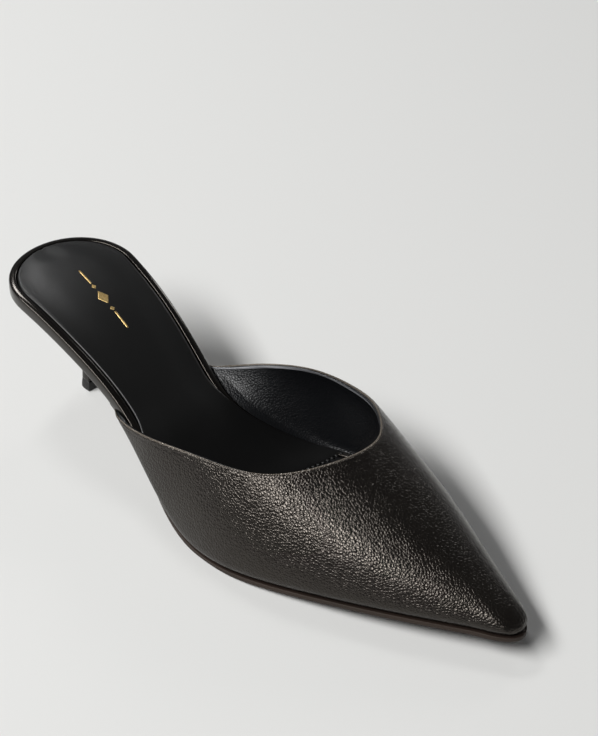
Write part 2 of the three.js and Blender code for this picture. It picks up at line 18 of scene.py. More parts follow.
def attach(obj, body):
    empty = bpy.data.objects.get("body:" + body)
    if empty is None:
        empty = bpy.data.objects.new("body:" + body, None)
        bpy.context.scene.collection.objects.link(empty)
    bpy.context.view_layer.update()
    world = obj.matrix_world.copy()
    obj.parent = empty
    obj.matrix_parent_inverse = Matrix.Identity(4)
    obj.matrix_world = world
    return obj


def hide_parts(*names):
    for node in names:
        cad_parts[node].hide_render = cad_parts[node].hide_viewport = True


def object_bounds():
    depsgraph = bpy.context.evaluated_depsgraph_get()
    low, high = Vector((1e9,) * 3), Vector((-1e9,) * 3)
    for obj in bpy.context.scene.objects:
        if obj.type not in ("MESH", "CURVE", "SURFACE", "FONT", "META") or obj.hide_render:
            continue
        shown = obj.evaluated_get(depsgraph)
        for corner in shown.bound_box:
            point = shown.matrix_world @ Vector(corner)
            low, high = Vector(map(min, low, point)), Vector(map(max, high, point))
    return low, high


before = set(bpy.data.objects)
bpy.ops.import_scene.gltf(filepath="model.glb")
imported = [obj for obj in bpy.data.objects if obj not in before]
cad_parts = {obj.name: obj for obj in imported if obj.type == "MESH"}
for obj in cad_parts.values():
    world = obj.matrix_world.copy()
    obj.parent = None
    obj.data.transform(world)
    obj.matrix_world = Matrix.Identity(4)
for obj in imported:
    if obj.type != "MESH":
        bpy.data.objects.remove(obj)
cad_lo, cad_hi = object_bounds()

MM = 0.001
print("frame box, mm:", [round(v / MM, 1) for v in (*cad_lo, *cad_hi)])

# %% [markdown]
# ## The camera
# A long lens far from the shoe keeps its proportions true. It looks down on the shoe from its
# outer side and from ahead of the toe. A camera could be aimed with angles, but three directions
# are easier to check: where its right side points, where its top points, and (backwards) where
# it looks.

# %% the camera
EYE = Vector((441.59, -387.42, 476.51)) * MM
LOOK = Vector((-0.59441, 0.55471, -0.58221))
CAMERA_RIGHT = Vector((0.69036, 0.7233, -0.01568))
FOCAL_WIDTHS = 3.2958  # focal length as a number of image widths
IMAGE_SIZE = (598, 736)
SENSOR = 36.0  # mm, along the longer side of the image

back = -LOOK.normalized()
right = (CAMERA_RIGHT - CAMERA_RIGHT.dot(back) * back).normalized()
aim = Matrix((right, back.cross(right), back)).transposed()
lens = bpy.data.cameras.new("camera")
lens.sensor_width = SENSOR
lens.lens = FOCAL_WIDTHS * SENSOR * IMAGE_SIZE[0] / IMAGE_SIZE[1]
camera = bpy.data.objects.new("camera", lens)
camera.matrix_world = Matrix.Translation(EYE) @ aim.to_4x4()
bpy.context.collection.objects.link(camera)
bpy.context.scene.camera = camera
bpy.context.scene.view_settings.view_transform = "Standard"
print("lens, mm:", round(lens.lens, 1))

# %% [markdown]
# ## Helpers for colours and nodes
# Colours are written as the hex values one reads off a screen, and turned to the linear values
# that light is reckoned in. One function adds a node, sets it and joins it up: an input may be
# a plain value or another node's output. An input is named where its name is the only one of
# its kind on the node, and numbered where the node has several alike.

# %% colours and nodes
def linear(hex_colour):
    """An sRGB hex colour as linear red, green, blue and alpha."""
    parts = [int(hex_colour[i : i + 2], 16) / 255 for i in (1, 3, 5)]
    return (*[c / 12.92 if c <= 0.04045 else ((c + 0.055) / 1.055) ** 2.4 for c in parts], 1.0)


def add(tree, kind, inputs=None, **settings):
    """Adds a node, sets its properties, and sets or links its inputs."""
    node = tree.nodes.new(kind)
    for name, value in settings.items():
        setattr(node, name, value)
    for name, value in (inputs or {}).items():
        if isinstance(value, bpy.types.NodeSocket):
            tree.links.new(value, node.inputs[name])
        else:
            node.inputs[name].default_value = value
    return node


def ramp(tree, factor, stops):
    """A colour ramp through (place, hex colour) stops."""
    node = add(tree, "ShaderNodeValToRGB", {"Fac": factor})
    elements = node.color_ramp.elements
    while len(elements) < len(stops):
        elements.new(0.5)
    for element, (place, colour) in zip(elements, stops):
        element.position = place
        element.color = linear(colour)
    return node.outputs["Color"]


def new_material(name):
    """A material with no nodes yet, and its tree."""
    material = bpy.data.materials.new(name)
    material.use_nodes = True
    material.node_tree.nodes.clear()
    return material, material.node_tree


def finish_material(tree, shader):
    add(tree, "ShaderNodeOutputMaterial", {"Surface": shader.outputs["BSDF"]})


print("linear mid grey:", round(linear("#808080")[0], 3))

# %% [markdown]
# ## Leather
# The vamp is cut from chrome-tanned calf, dyed through and lightly boarded, so that its grain
# stands up in tiny flat-topped pebbles. The finish is a thin clear resin: quite smooth on each
# pebble and broken between them, which is why a highlight on it breaks up into sparks. A
# scanned leather could be laid on as a picture, but cells (a Voronoi pattern) give the same
# pebbles at any size and follow the shoe without a seam. They are warped by a little noise so
# that no two are alike, and raised with a bump. Along the folded edges a paler colour is painted
# into the dye as a highlight: the sheets carry a number from 0 to 1, called "fold", that says
# where.

# %% a maker of leathers
WARP_WAVES = 0.5  # noise waves across one pebble
WARP_PULL = 0.25  # how far they move a pebble's edge, as a share of the pebble
CREASE_WIDTH = 0.2  # width of the crease between two pebbles, as a share of the pebble
DOME_SOFT = 0.2  # how softly neighbouring domes run together
GRAIN_BASE = 0.6  # height of the grain's middle, as a share of its depth
DYE_PATCH = 35.0  # mm, size of the faint clouds in the dye
DYE_STOPS = (0.35, 0.65)  # where in the clouds the dark and the light dye lie
RESIN_IOR = 1.5
PURE = "#ffffff"


def leather(name, dark, light, roughness, pebble, depth, crevice=0.4, broken=0.2, tint=PURE,
            specular=0.5, painted_highlight=None):
    """Grained leather. pebble and depth are the grain's width and height in mm, crevice is the
    creases' share of that height, and broken is how much rougher the creases are."""
    material, tree = new_material(name)
    place = add(tree, "ShaderNodeTexCoord").outputs["Object"]

    # The pebbles' pattern is pulled about by noise.
    warp = add(tree, "ShaderNodeTexNoise",
               {"Vector": place, "Scale": WARP_WAVES / (pebble * MM), "Detail": 2.0})
    pull = add(tree, "ShaderNodeVectorMath",
               {0: warp.outputs["Color"], 1: (0.5, 0.5, 0.5)}, operation="SUBTRACT")
    moved = add(tree, "ShaderNodeVectorMath",
                {0: pull.outputs[0], 1: (WARP_PULL * pebble * MM,) * 3, 2: place},
                operation="MULTIPLY_ADD").outputs[0]
    cells = {"Vector": moved, "Scale": 1 / (pebble * MM), "Randomness": 1.0}

    # Each pebble is a low dome with a flat top between creases.
    dome = add(tree, "ShaderNodeTexVoronoi", {**cells, "Smoothness": DOME_SOFT}, feature="SMOOTH_F1")
    edge = add(tree, "ShaderNodeTexVoronoi", cells, feature="DISTANCE_TO_EDGE")
    top = add(tree, "ShaderNodeMapRange",
              {"Value": edge.outputs["Distance"], "From Max": CREASE_WIDTH},
              interpolation_type="SMOOTHSTEP").outputs[0]
    domes = add(tree, "ShaderNodeMath",
                {0: dome.outputs["Distance"], 1: crevice - 1.0, 2: GRAIN_BASE},
                operation="MULTIPLY_ADD").outputs[0]
    height = add(tree, "ShaderNodeMath", {0: top, 1: crevice, 2: domes},
                 operation="MULTIPLY_ADD").outputs[0]
    bump = add(tree, "ShaderNodeBump",
               {"Strength": 1.0, "Distance": depth * MM, "Height": height}).outputs[0]

    # The dye is faintly cloudy, and a pale painted highlight is mixed in along the folds.
    cloud = add(tree, "ShaderNodeTexNoise",
                {"Vector": place, "Scale": 1 / (DYE_PATCH * MM), "Detail": 3.0})
    colour = ramp(tree, cloud.outputs["Fac"], list(zip(DYE_STOPS, (dark, light))))
    if painted_highlight:
        fold = add(tree, "ShaderNodeAttribute", attribute_name="fold").outputs["Fac"]
        colour = add(tree, "ShaderNodeMix", {0: fold, 6: colour, 7: linear(painted_highlight)},
                     data_type="RGBA").outputs[2]

    # The resin shines on the pebbles and is broken in the creases, unless it is even all over.
    gloss = roughness
    if broken:
        gloss = add(tree, "ShaderNodeMapRange",
                    {"Value": top, "To Min": roughness + broken, "To Max": roughness}).outputs[0]
    shader = add(tree, "ShaderNodeBsdfPrincipled", {
        "Base Color": colour, "Roughness": gloss, "Normal": bump, "IOR": RESIN_IOR,
        "Specular IOR Level": specular, "Specular Tint": linear(tint),
    })
    finish_material(tree, shader)
    print(name, "grain:", pebble, "mm wide,", depth, "mm high")
    return material

# %% [markdown]
# ### The shoe's leathers
# One maker serves them all, because they differ only in how they were finished. Real boarded
# grain is about half a millimetre wide: it is drawn at 0.85 to 1 mm on the upper and the
# lining, because anything finer melts into a smooth shine at this distance. The other leathers
# are plated (pressed smooth with a hot plate), so their grain is nearly flat and only dulls
# the shine.

# %% leathers of the upper
WARM = "#fff3e6"  # the dressing on the grain is faintly yellow, and so are its highlights

# Boarded calf of the vamp: sparkling highlights, brown-black in the shade, and a pale painted
# highlight along its folded edge.
upper_leather = leather("boarded_calf", "#100e0d", "#171513", 0.15, 1.0, 0.15, crevice=0.3,
                        broken=0.12, tint=WARM, painted_highlight="#625b52")
# Glazed goat of the lining: a colder black with a softer shine, and a pale painted highlight on its
# fold.
lining_leather = leather("goat_lining", "#0b0c0e", "#101113", 0.3, 0.85, 0.11, crevice=0.3,
                         broken=0.1, specular=0.35, painted_highlight="#9a9b9f")

# %% leathers of the inside and the bottom
# The same calf pulled tight round the insole's edge: stretched smooth, so it mirrors a line.
wrap_leather = leather("wrapped_calf", "#0d0c0b", "#121110", 0.13, 0.8, 0.006, broken=0.0,
                       tint=WARM, specular=0.45)
# Plated sheep nappa of the padded sock: silky, with wide and dull highlights.
sock_leather = leather("sock_nappa", "#0b0b0b", "#0f0f0f", 0.36, 0.6, 0.01, broken=0.0,
                       specular=0.4)
# The front sock is the same nappa, unpadded and undressed: matt.
front_leather = leather("front_sock_nappa", "#0a0a0b", "#0e0e0f", 0.5, 0.7, 0.02, specular=0.25)
# Calf glued round the heel block, pared thin and burnished: it shines less than the vamp.
heel_leather = leather("heel_cover_calf", "#100e0d", "#161413", 0.32, 0.7, 0.02, broken=0.05,
                       tint=WARM, specular=0.25)
# Vegetable-tanned bend of the outsole, its edge inked with a dark brown stain: dull.
sole_leather = leather("stained_sole", "#1d1511", "#281d18", 0.5, 0.5, 0.03, tint=WARM)
# The top piece is moulded rubber, and its fine moulded grain looks as leather's does.
top_rubber = leather("top_piece_rubber", "#141313", "#1a1919", 0.5, 0.4, 0.02)

# %% [markdown]
# ### Gold foil
# An ornament on a sock is hot-stamped: a heated brass die presses a gold-coloured foil into the
# leather. The foil is bright metal, but it takes up the leather's grain, so it glitters in
# specks and doesn't mirror.

# %% gold foil
FOIL_SPECK = 0.5  # mm, width of the glittering specks
FOIL_RELIEF = 0.03  # mm, height of the grain that shows through


def gold_foil():
    material, tree = new_material("gold_foil")
    place = add(tree, "ShaderNodeTexCoord").outputs["Object"]
    specks = add(tree, "ShaderNodeTexNoise",
                 {"Vector": place, "Scale": 1 / (FOIL_SPECK * MM), "Detail": 3.0}).outputs["Fac"]
    bump = add(tree, "ShaderNodeBump", {"Distance": FOIL_RELIEF * MM, "Height": specks}).outputs[0]
    gold = ramp(tree, specks, [(0.3, "#b8975a"), (0.7, "#e6cd92")])
    shader = add(tree, "ShaderNodeBsdfPrincipled",
                 {"Base Color": gold, "Metallic": 1.0, "Roughness": 0.45, "Normal": bump})
    finish_material(tree, shader)
    return material


foil = gold_foil()
print("materials:", len(bpy.data.materials))

# %% [markdown]
# ## The last
# A shoe takes its shape from a last, a carved model of the foot, and so does this one. A last
# could be sculpted by eye, but here it is described section by section from the back of the
# shoe (0) to the tip of the toe: how high the board stands, how far its outline reaches to each
# side, where the crest runs, and how the walls lean. These are the same sizes as the frame's
# solids have, so that sheets lasted over it lie where the solids do.

# %% sizes of the last
SHOE_LENGTH = 264.0
NOSE_LENGTH = 11.5  # the toe's rounded tip
NOSE_SIDE = 3.0  # the tip lies this far to the medial side
HEEL_ROUND = 28.0  # length of the heel seat's round end
HEEL_ROUND_POWER = 2.2  # 2 is an ellipse, more is squarer
WALL = 1.6  # upper and lining together
FIT_GAP = 0.3  # between pieces that meet
ROLL_IN = 1.4  # the upper rolls in over the board's edge by this much
ROLL_HEIGHT = 5.0
WING_START = 81.0
WING_WALL = 0.9  # the wings' ends are skived this thin
WING_FLARE = {-1: (79.0, 91.0), 1: (84.0, 101.0)}  # where each wing leaves the board's edge
LONG_AXIS_SIDE = 1.616  # the shoe's long axis lies this far to the medial side of the frame

RISE_X = (0, 28, 60, 92, 112, 132, 160, 190, 220, 252.5)
RISE = (45.7, 43.6, 37.3, 26, 17, 5, 2.3, 4.6, 6.8, 8.2)
OUTLINE_X = (28, 60, 92, 112, 132, 160, 190, 220, 249)
OUTLINE_LATERAL = (27.5, 29, 31.5, 36.5, 40, 41, 32.5, 20, 5.2)
OUTLINE_MEDIAL = (27, 20.8, 12.4, 10.6, 24.5, 38, 33.5, 23, 11.3)
LAST_X = (80, 108, 132, 156, 180, 205, 230, 252.5)
CREST_HEIGHT = (82, 72.5, 63.5, 54.5, 43.7, 34.5, 25, 16.8)
CREST_SIDE = (2, 5, 7, 8.5, 9.5, 8, 4.5, 2.5)
LATERAL_FLARE = (-8, -8, -3, -3, -3, -4, -5, -6)  # degrees, outwards
MEDIAL_FLARE = (12, 50, 26, 1, -10, -8, -10, -12)
TOPLINE_X = (80, 94, 108, 132, 156, 172, 182)
TOPLINE_LATERAL = (31.4, 29.7, 32, 35.9, 37.9, 39.9, 42.2)  # heights of the cut
TOPLINE_MEDIAL = (31.2, 29.6, 33.9, 37.2, 39.5, 42.8, 43)
TOPLINE_BLEND = 30.0  # over the crest one side's cut turns into the other's
LATERAL_WALL, LATERAL_CREST = 0.35, 0.69  # how upright the wall and how flat the crest
MEDIAL_WALL, MEDIAL_CREST = 0.75, 0.58
print("the last:", len(LAST_X), "sections,", SHOE_LENGTH, "mm long")

# %% [markdown]
# ### Fair curves
# Between the rows of the table a natural cubic spline fills in, as a shipbuilder's batten does:
# it passes through every point and bends as little as it can.

# %% curves of the last
def smooth(stations, values):
    """A natural cubic spline, as a function of an array."""
    x, y = np.array(stations, float), np.array(values, float)
    step = np.diff(x)
    matrix, turns = np.eye(len(x)), np.zeros(len(x))
    for i in range(1, len(x) - 1):
        matrix[i, i - 1 : i + 2] = step[i - 1], 2 * (step[i - 1] + step[i]), step[i]
        turns[i] = 6 * ((y[i + 1] - y[i]) / step[i] - (y[i] - y[i - 1]) / step[i - 1])
    bend = np.linalg.solve(matrix, turns)

    def at(where):
        here = np.clip(where, x[0], x[-1])
        i = np.clip(np.searchsorted(x, here) - 1, 0, len(x) - 2)
        a, b, h = (x[i + 1] - here), (here - x[i]), step[i]
        curve = (bend[i] * a**3 + bend[i + 1] * b**3) / (6 * h)
        return curve + (y[i] / h - bend[i] * h / 6) * a + (y[i + 1] / h - bend[i + 1] * h / 6) * b

    return at


rise = smooth(RISE_X, RISE)
reach = {-1: smooth(OUTLINE_X, OUTLINE_LATERAL), 1: smooth(OUTLINE_X, OUTLINE_MEDIAL)}
crest_height = smooth(LAST_X, CREST_HEIGHT)
crest_side = smooth(LAST_X, CREST_SIDE)
lateral_flare = smooth(LAST_X, LATERAL_FLARE)
medial_flare = smooth(LAST_X, MEDIAL_FLARE)
lateral_cut = smooth(TOPLINE_X, TOPLINE_LATERAL)
medial_cut = smooth(TOPLINE_X, TOPLINE_MEDIAL)
print("heel seat", RISE[0], "mm high; widest", max(OUTLINE_LATERAL) + max(OUTLINE_MEDIAL), "mm")

# %% blending
def lerp(a, b, share):
    return a + (b - a) * share


def ease(low, high, x):
    """0 below low, 1 above high, and a smooth turn between them."""
    share = np.clip((x - low) / (high - low), 0, 1)
    return share * share * (3 - 2 * share)


def board_height(x):
    """Underside of the insole board above the floor. Past the last row it runs straight on."""
    slope = rise(RISE_X[-1]) - rise(RISE_X[-1] - 1)
    return rise(x) + np.maximum(0, x - RISE_X[-1]) * slope


print("board above the floor at the waist:", round(float(board_height(100.0)), 1), "mm")

# %% [markdown]
# ### The outline
# The insole board's outline is the base of everything. The upper's widest line stands outside
# it by the upper's own thickness, and the sock's edge inside it, so one function draws the
# outline moved out or in.

# %% the board's outline
NOSE_START = SHOE_LENGTH - NOSE_LENGTH
BOARD_TIP = SHOE_LENGTH - (WALL + FIT_GAP + ROLL_IN)
BOARD_NOSE = BOARD_TIP - NOSE_LENGTH
EDGE_PLACES = 721
EDGE_STEP = 0.002  # half the step over which the outline's direction is taken


def board_edge(side, outset):
    """The board's outline on one side from heel to toe, moved outwards, as x and y arrays."""
    share = np.linspace(0.0, 1.0, EDGE_PLACES)

    def board(s):
        x = BOARD_TIP * (1 - np.cos(np.pi * np.clip(s, 0, 1))) / 2
        round_end = np.maximum(0, (HEEL_ROUND - x) / HEEL_ROUND) ** HEEL_ROUND_POWER
        heel = np.sqrt(np.maximum(0, 1 - round_end))
        nose = np.sqrt(np.clip((BOARD_TIP - x) / NOSE_LENGTH, 0, 1))
        y = side * reach[side](np.clip(x, HEEL_ROUND, BOARD_NOSE)) * heel
        return np.stack([x, lerp(NOSE_SIDE, y, nose)])

    along = board(share + EDGE_STEP) - board(share - EDGE_STEP)
    along /= np.linalg.norm(along, axis=0)
    line = board(share)
    line = line + np.stack([-along[1], along[0]]) * side * outset(line[0])
    line[:, 0] = -outset(np.zeros(1))[0], 0
    line[:, -1] = BOARD_TIP + outset(np.full(1, BOARD_TIP))[0], NOSE_SIDE
    forwards = np.concatenate([[True], np.diff(np.maximum.accumulate(line[0])) > 1e-9])
    return line[:, forwards]


def overlap(side, x):
    """How far the upper's widest line stands outside the board: its wings close in on it."""
    flared = ease(*WING_FLARE[side], x)
    return FIT_GAP + lerp(WING_WALL, WALL, flared) + ROLL_IN * flared


widest = {side: board_edge(side, lambda x, side=side: overlap(side, x)) for side in (-1, 1)}
print("upper's widest line:", round(widest[1][1].max() - widest[-1][1].min(), 1), "mm across")

# %% [markdown]
# ### The sections
# Each cross-section is two Bézier curves that meet at the crest, one from each edge. Four
# points set each curve: the edge, a point up the wall, a point beside the crest, and the crest.

# %% a point of the last
def last_point(x, climb):
    """A point of the last: climb goes from 0 at the lateral edge over the crest (1) to 2."""
    lateral = climb <= 1
    side = np.where(lateral, -1, 1)
    t = np.where(lateral, climb, 2 - climb)
    inside = np.clip(x, LAST_X[0], NOSE_START)
    close = np.sqrt(np.clip((SHOE_LENGTH - x) / NOSE_LENGTH, 0, 1))
    base = board_height(x)
    height = (crest_height(inside) - board_height(inside)) * close
    crest = lerp(NOSE_SIDE, crest_side(inside), close)
    edge = np.where(lateral, np.interp(x, *widest[-1]), np.interp(x, *widest[1]))
    lean = np.radians(np.where(lateral, lateral_flare(inside), medial_flare(inside)))
    wall = height * np.where(lateral, LATERAL_WALL, MEDIAL_WALL)
    flat = np.abs(edge - crest) * np.where(lateral, LATERAL_CREST, MEDIAL_CREST)
    weights = ((1 - t) ** 3, 3 * t * (1 - t) ** 2, 3 * t**2 * (1 - t), t**3)
    ys = (edge, edge + side * np.sin(lean) * wall, crest + side * flat, crest)
    zs = (base, base + np.cos(lean) * wall, base + height, base + height)
    y = sum(w * p for w, p in zip(weights, ys))
    z = sum(w * p for w, p in zip(weights, zs))
    return np.stack([x, y, z], axis=-1)


print("crest above the ball:", last_point(np.array(160.0), np.array(1.0)).round(1), "mm")

# %% [markdown]
# ### The topline
# The topline is where the upper is cut open for the foot. It is a height on each side, and the
# places where the last passes through that height are found by halving a span again and
# again, which needs no formula for the crossing.

# %% the topline
HALVINGS = 30
TOPLINE_PLACES = 120  # on each side, closer together towards the throat


def above_topline(point):
    share = ease(-TOPLINE_BLEND, TOPLINE_BLEND, point[..., 1])
    x = point[..., 0]
    return point[..., 2] - lerp(lateral_cut(x), medial_cut(x), share)


def search(low, high, test):
    """Halves the span between where test is false and where it is true, for whole arrays."""
    for _ in range(HALVINGS):
        middle = (low + high) / 2
        found = test(middle)
        low, high = np.where(found, low, middle), np.where(found, middle, high)
    return (low + high) / 2


def topline():
    """The topline from the lateral wing round the throat: share of its length, x and climb."""
    share = np.linspace(0, 1, TOPLINE_PLACES)
    x = THROAT - (THROAT - WING_START) * (1 - share) ** 2
    zero, one = np.zeros(TOPLINE_PLACES), np.ones(TOPLINE_PLACES)
    near = search(zero, one, lambda t: above_topline(last_point(x, t)) > 0)
    far = search(zero, one, lambda t: above_topline(last_point(x, 2 - t)) > 0)
    near[-1] = 1
    xs = np.concatenate([x, x[-2::-1]])
    climbs = np.concatenate([near, (2 - far)[-2::-1]])
    points = last_point(xs, climbs)
    run = np.concatenate([[0], np.cumsum(np.linalg.norm(np.diff(points, axis=0), axis=1))])
    return run / run[-1], xs, climbs, run[-1]


THROAT = float(search(WING_START, NOSE_START,
                      lambda x: above_topline(last_point(x, np.array(1.0))) < 0))
top_run, top_x, top_climb, topline_length = topline()
throat_share = float(np.interp(THROAT, top_x[:TOPLINE_PLACES], top_run[:TOPLINE_PLACES]))
print("throat at", round(THROAT, 1), "mm; topline", round(topline_length, 1), "mm long")

# %% [markdown]
# ## The upper
# On the real shoe one piece of leather is wetted, pulled down over the last and tacked under
# its edge. Cloth simulation could pull a sheet down too, but wet leather takes the last's shape
# exactly, so a flat grid plays the leather and one function gives every corner of the grid its
# place on the last. The grid's columns start round the topline and its rows run down to the
# feather edge, where upper and sole meet.

# %% a place on the last
END_CROWD = 1.6  # the columns crowd towards the toe's tip
FAN = 3.0  # near the toe the columns fan out late
NOSE_EVEN = 8  # only the columns nearest the tip are crowded along their length


def lasted(along, down):
    """Where a place on the flat piece lies on the last. along and down go from 0 to 1."""
    half = np.where(along < 0.5, along * 2 * throat_share,
                    1 - (1 - along) * 2 * (1 - throat_share))
    from_x = np.interp(half, top_run, top_x)
    from_climb = np.interp(half, top_run, top_climb)
    share = np.abs(along * 2 - 1)
    end_x = SHOE_LENGTH - (SHOE_LENGTH - WING_START) * share**END_CROWD
    end_climb = np.where(along < 0.5, 0.0, 2.0)
    nose = 1 + (END_CROWD - 1) * (1 - share) ** NOSE_EVEN
    fan = 1 + FAN * (1 - share) ** 2
    x = end_x + (from_x - end_x) * (1 - down) ** nose
    middle = np.abs(along - 0.5) < 1e-6
    climb = np.where(middle, from_climb, lerp(from_climb, end_climb, down**fan))
    return last_point(x, climb)


def to_frame(points):
    """From the shoe's own millimetres to the frame's metres."""
    return (points + np.array([cad_lo.x / MM, LONG_AXIS_SIDE, 0.0])) * MM


toe_tip = lasted(np.array(0.5), np.array(1.0))
print("the last's toe tip:", toe_tip.round(1), "mm")

# %% directions on the sheet
def unit(vectors):
    return vectors / np.maximum(np.linalg.norm(vectors, axis=-1, keepdims=True), 1e-9)


def grid_normals(points):
    """Outward directions of a grid of points, columns first and rows second."""
    return unit(np.cross(np.gradient(points, axis=1), np.gradient(points, axis=0)))


def side_ease(along, spans, x):
    """Eases each side of the sheet over its own span of x."""
    return np.where(along < 0.5, ease(*spans[-1], x), ease(*spans[1], x))


print("the wings flare out over", WING_FLARE[-1], "and", WING_FLARE[1], "mm")

# %% [markdown]
# ### Lasting a sheet
# The vamp and its lining are lasted in the same way. The rows are crowded towards the topline,
# because the folds there need them most. Then, as at the bench, the sheet is rolled in over the
# board's edge, a crease is pressed in just above the sole, and the ends of the two wings are
# skived and slipped in and down under the board's edge, where the mule has no back to hold
# them.

# %% lasting a sheet
SHEET_COLUMNS, SHEET_ROWS = 160, 44
ROW_CROWD = 1.6
FEATHER_TUCK = 1.3  # mm, depth of the crease above the sole
FEATHER_HEIGHT = 2.4  # mm, height of that crease
WING_TUCK = {-1: (81.0, 93.0), 1: (84.0, 99.0)}  # where each wing slips under the board's edge
WING_TUCK_IN = 1.8
WING_TUCK_DOWN = 2.0
DROP_SPREAD = 4  # a lowered top row gathers the rows over this many times its drop
SEAM = 0.01  # mm, corners closer than this are one


def sheet_on_last(depth, top_drop, detail, painted_highlight_at, painted_highlight_width):
    """A grid lasted at a depth under the last's surface, its top row let down by top_drop mm."""
    bm = bmesh.new()
    bmesh.ops.create_grid(bm, x_segments=SHEET_COLUMNS, y_segments=SHEET_ROWS, size=1.0)
    flat = np.array([v.co[:2] for v in bm.verts]) / 2 + 0.5
    columns, rows = np.unique(flat[:, 0].round(6)), np.unique(flat[:, 1].round(6))
    along, down = np.meshgrid(columns, rows**ROW_CROWD, indexing="ij")
    points = lasted(along, down)

    out = grid_normals(points)
    outwards = np.repeat(unit(out[:, -1:, :] * (1, 1, 0)), points.shape[1], axis=1)
    steps = np.linalg.norm(np.diff(points, axis=1), axis=2)
    run = np.concatenate([np.zeros((len(columns), 1)), np.cumsum(steps, axis=1)], axis=1)
    high = np.maximum(0, points[..., 2] - board_height(points[..., 0]))
    flared = side_ease(along, WING_FLARE, points[..., 0])

    rolled = ROLL_IN * np.maximum(0, 1 - high / ROLL_HEIGHT) ** 2 * flared
    points = points + out * (detail(points, run) - depth)[..., None] - outwards * rolled[..., None]
    if top_drop:
        down_column = np.gradient(points, axis=1)
        down_column /= np.linalg.norm(down_column, axis=-1, keepdims=True)
        let_down = np.clip(1 - run / (DROP_SPREAD * top_drop), 0, 1) * top_drop
        points = points + down_column * let_down[..., None]
    crease = FEATHER_TUCK * np.maximum(0, 1 - high / FEATHER_HEIGHT) * flared
    points = points - outwards * crease[..., None]
    tucked = 1 - side_ease(along, WING_TUCK, points[..., 0])
    inward = np.where(along < 0.5, 1.0, -1.0) * tucked * WING_TUCK_IN
    points = points + np.stack([np.zeros_like(inward), inward, -WING_TUCK_DOWN * tucked], axis=-1)

    placed = to_frame(points)
    # How much of the pale painted highlight each corner gets, by its distance down the column.
    painted_highlight = np.exp(-(((run - painted_highlight_at) / painted_highlight_width) ** 2))
    fold = bm.verts.layers.float.new("fold")
    i = np.searchsorted(columns, flat[:, 0].round(6))
    j = np.searchsorted(rows, flat[:, 1].round(6))
    for vert, column, row in zip(bm.verts, i, j):
        vert.co = placed[column, row]
        vert[fold] = painted_highlight[column, row]
    bmesh.ops.remove_doubles(bm, verts=bm.verts, dist=SEAM * MM)
    bmesh.ops.recalc_face_normals(bm, faces=bm.faces)
    crest = max(bm.faces, key=lambda f: f.calc_center_median().z)
    if crest.normal.z < 0:
        bmesh.ops.reverse_faces(bm, faces=bm.faces)
    print("lasted a sheet of", len(bm.faces), "faces; columns", round(run[:, -1].max(), 1), "mm long")
    return bm

# %% [markdown]
# ### From sheet to piece
# A lasted sheet gets the thickness of leather inwards, so that its outer face stays on the
# last. Its raw edges are rounded with a bevel. Subdivision then takes the last corners out of
# the curves.

# %% thickness, edges and pieces
EDGE_ANGLE = math.radians(60)


def make_piece(name, bm, material, nodes=()):
    """Turns a bmesh into a piece that rides on the shoe."""
    mesh = bpy.data.meshes.new(name)
    bm.to_mesh(mesh)
    bm.free()
    mesh.materials.append(material)
    mesh.shade_smooth()
    piece = bpy.data.objects.new(name, mesh)
    bpy.context.collection.objects.link(piece)
    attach(piece, "root")
    if nodes:
        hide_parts(*nodes)
    print(name, len(mesh.polygons), "faces")
    return piece


def thicken(bm, thickness):
    """Gives a sheet its thickness, away from its outer face."""
    bmesh.ops.solidify(bm, geom=bm.faces[:], thickness=thickness * MM)
    bm.normal_update()


def round_edges(bm, radius):
    sharp = [e for e in bm.edges if len(e.link_faces) == 2 and e.calc_face_angle(0) > EDGE_ANGLE]
    bmesh.ops.bevel(
        bm, geom=sharp, offset=radius * MM, segments=2, profile=0.5, affect="EDGES", material=-1,
        clamp_overlap=True,
    )


def subdivide(piece, levels=1):
    modifier = piece.modifiers.new("rounding", "SUBSURF")
    modifier.levels = modifier.render_levels = levels
    modifier.uv_smooth = "NONE"


print("edges sharper than", round(math.degrees(EDGE_ANGLE)), "degrees are rounded")

# %% [markdown]
# ### The vamp
# The vamp's top edge is folded: the leather is pared thin, turned over and glued down, which
# makes a soft bead with a faint trough behind it. It catches the light all along the opening,
# and a paler colour is painted along its very edge as a highlight.
# The fold could be modelled as a turned-over flap, but only its outside shows, so the sheet's
# own surface is bent.

# %% the vamp
LEATHER = 0.8  # mm thick
RAW_EDGE = 0.36  # mm, radius that the raw edges are rounded to
FOLD = 1.8  # mm, width of the folded top edge
FOLD_ROUND = 0.55  # mm, how far the fold turns over the edge
FOLD_GROOVE = 0.12  # mm, how deep the leather sinks behind the fold
GROOVE_AFTER, GROOVE_WIDTH = 0.6, 0.5  # mm, the trough's place behind the fold and its width
PAINTED_EDGE_HIGHLIGHT = 0.55  # mm, width of the pale highlight painted along the very edge


def vamp_detail(_points, run):
    """The folded edge is a bead that turns over the top, with a faint trough behind it."""
    over = np.clip(1 - run / FOLD, 0, 1) ** 2
    groove = np.exp(-(((run - FOLD - GROOVE_AFTER) / GROOVE_WIDTH) ** 2))
    return -FOLD_ROUND * over - FOLD_GROOVE * groove


vamp_mesh = sheet_on_last(0.0, 0.0, vamp_detail, 0.0, PAINTED_EDGE_HIGHLIGHT)
thicken(vamp_mesh, LEATHER)
round_edges(vamp_mesh, RAW_EDGE)
vamp = make_piece("vamp", vamp_mesh, upper_leather, ["upper"])
subdivide(vamp)
